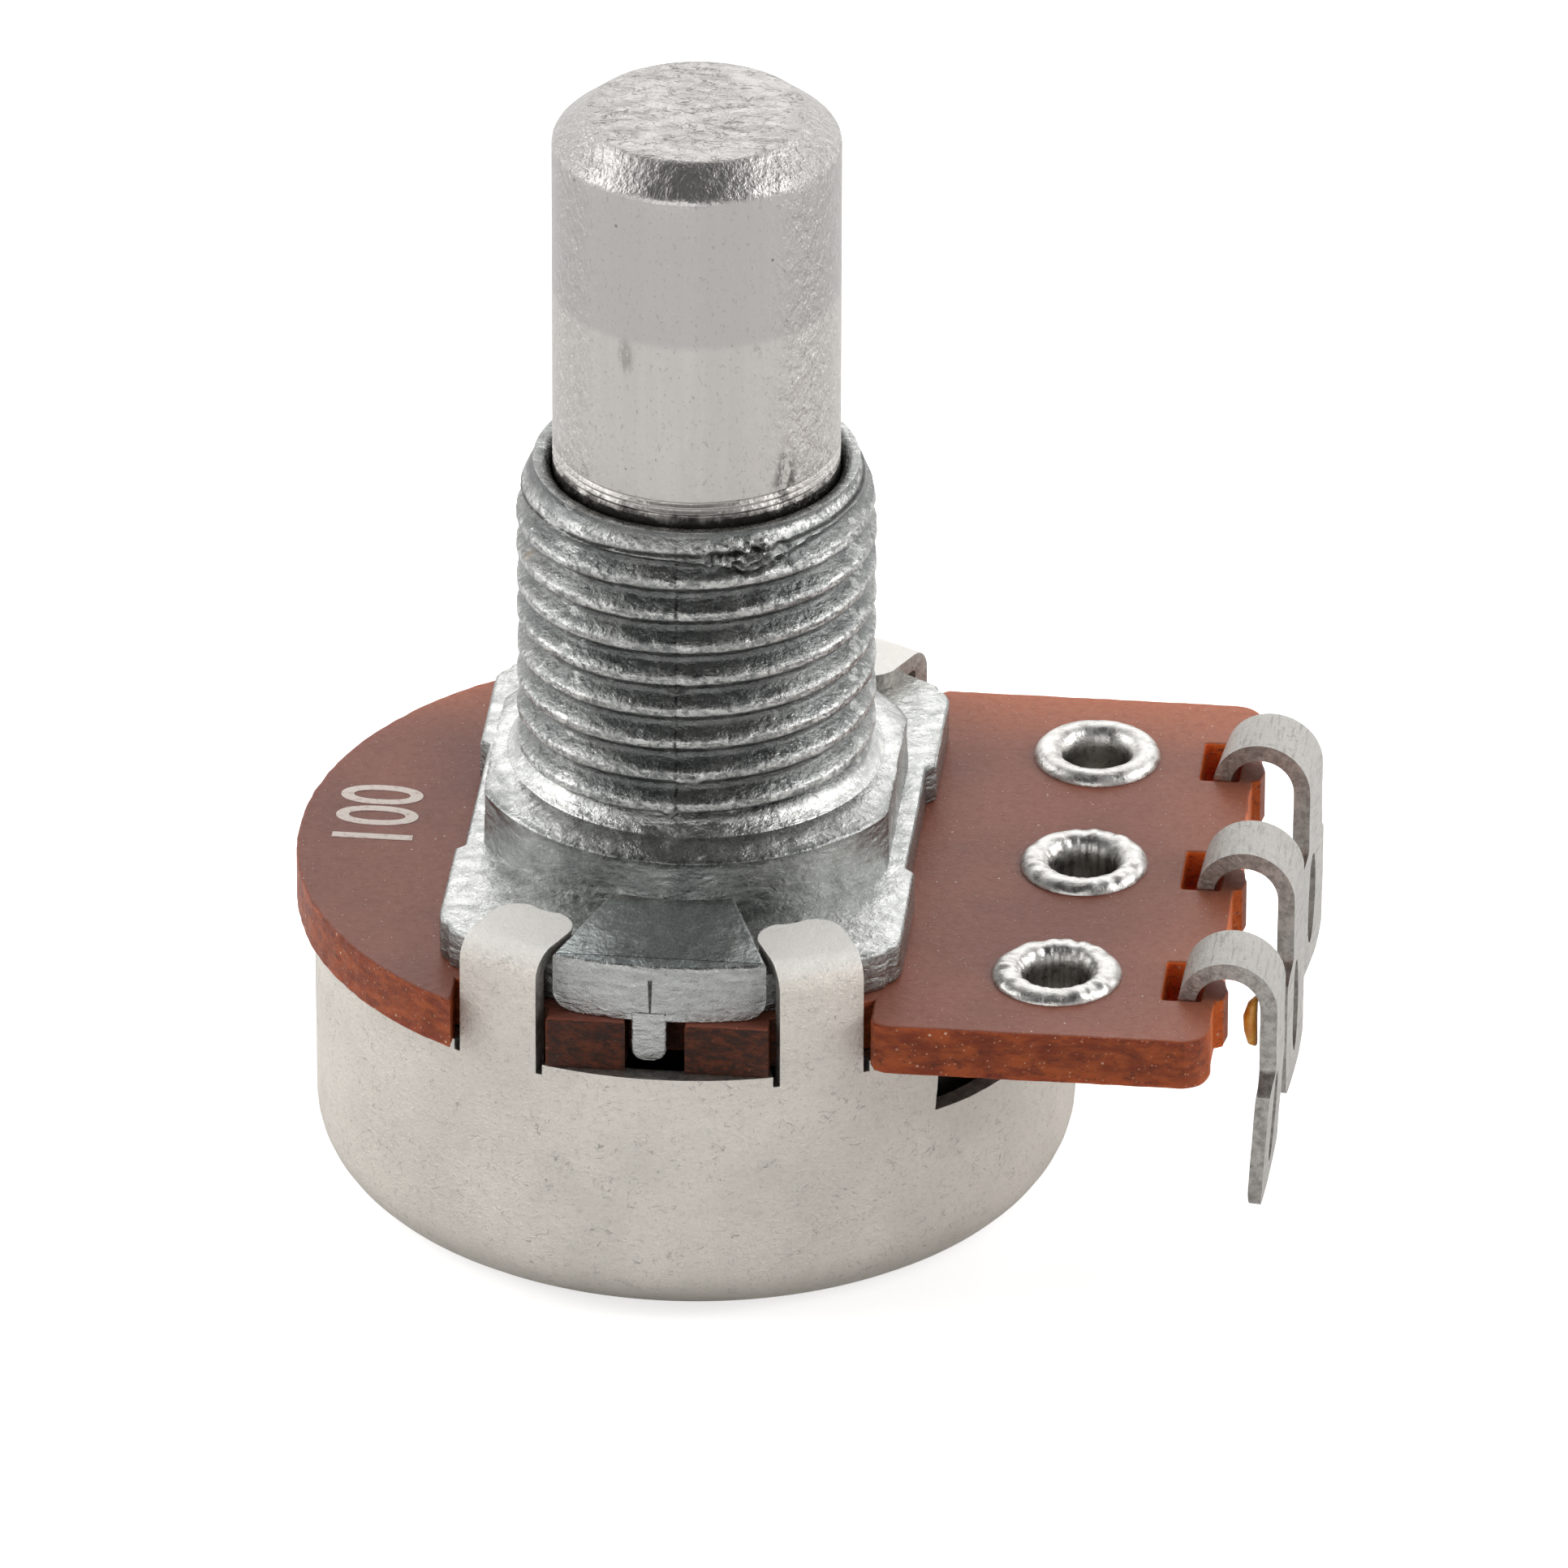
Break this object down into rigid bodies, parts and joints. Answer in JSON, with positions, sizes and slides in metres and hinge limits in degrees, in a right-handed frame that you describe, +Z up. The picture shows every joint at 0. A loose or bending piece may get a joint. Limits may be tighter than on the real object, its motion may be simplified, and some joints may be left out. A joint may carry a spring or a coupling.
{
  "type": "rotary potentiometer",
  "caption": "Panel rotary potentiometer with a plain round shaft, a threaded bushing, a crimped metal can and hooked solder lugs.",
  "frame": {"origin": "centre of the can's flat base, on the shaft's axis", "axes": "+Z up the shaft, away from the can; +X towards the solder lugs; +Y to the left of the lugs, seen from the shaft's end"},
  "size_m": [0.0224, 0.017, 0.0257],
  "materials": {
    "shaft_metal": "satin, drawn along its length",
    "cast_zinc": "matt, fine-grained die casting",
    "can_steel": "satin tinned sheet",
    "lug_metal": "satin tinned strip",
    "eyelet_metal": "dull tinned",
    "spring_metal": "satin spring steel",
    "contact_metal": "satin",
    "laminate": "matt phenolic paper laminate",
    "moulding": "matt black",
    "carbon": "matt printed carbon",
    "silver_print": "matt printed silver"
  },
  "bodies": {
    "housing": {"can": "can_steel", "bushing": "cast_zinc", "wafer": "laminate", "carbon_track": "carbon", "conductor_front": "silver_print", "conductor_middle": "silver_print", "conductor_rear": "silver_print", "terminal_front": "lug_metal", "terminal_middle": "lug_metal", "terminal_rear": "lug_metal", "eyelet_front": "eyelet_metal", "eyelet_middle": "eyelet_metal", "eyelet_rear": "eyelet_metal"},
    "spindle": {"shaft": "shaft_metal", "retaining_ring": "spring_metal", "rotor": "moulding", "wiper": "contact_metal"}
  },
  "joints": [
    {"name": "shaft_turn", "type": "hinge", "parent": "housing", "child": "spindle", "pos_m": [0, 0, 0], "axis": [0, 0, 1], "range_deg": [-150, 150]}
  ]
}
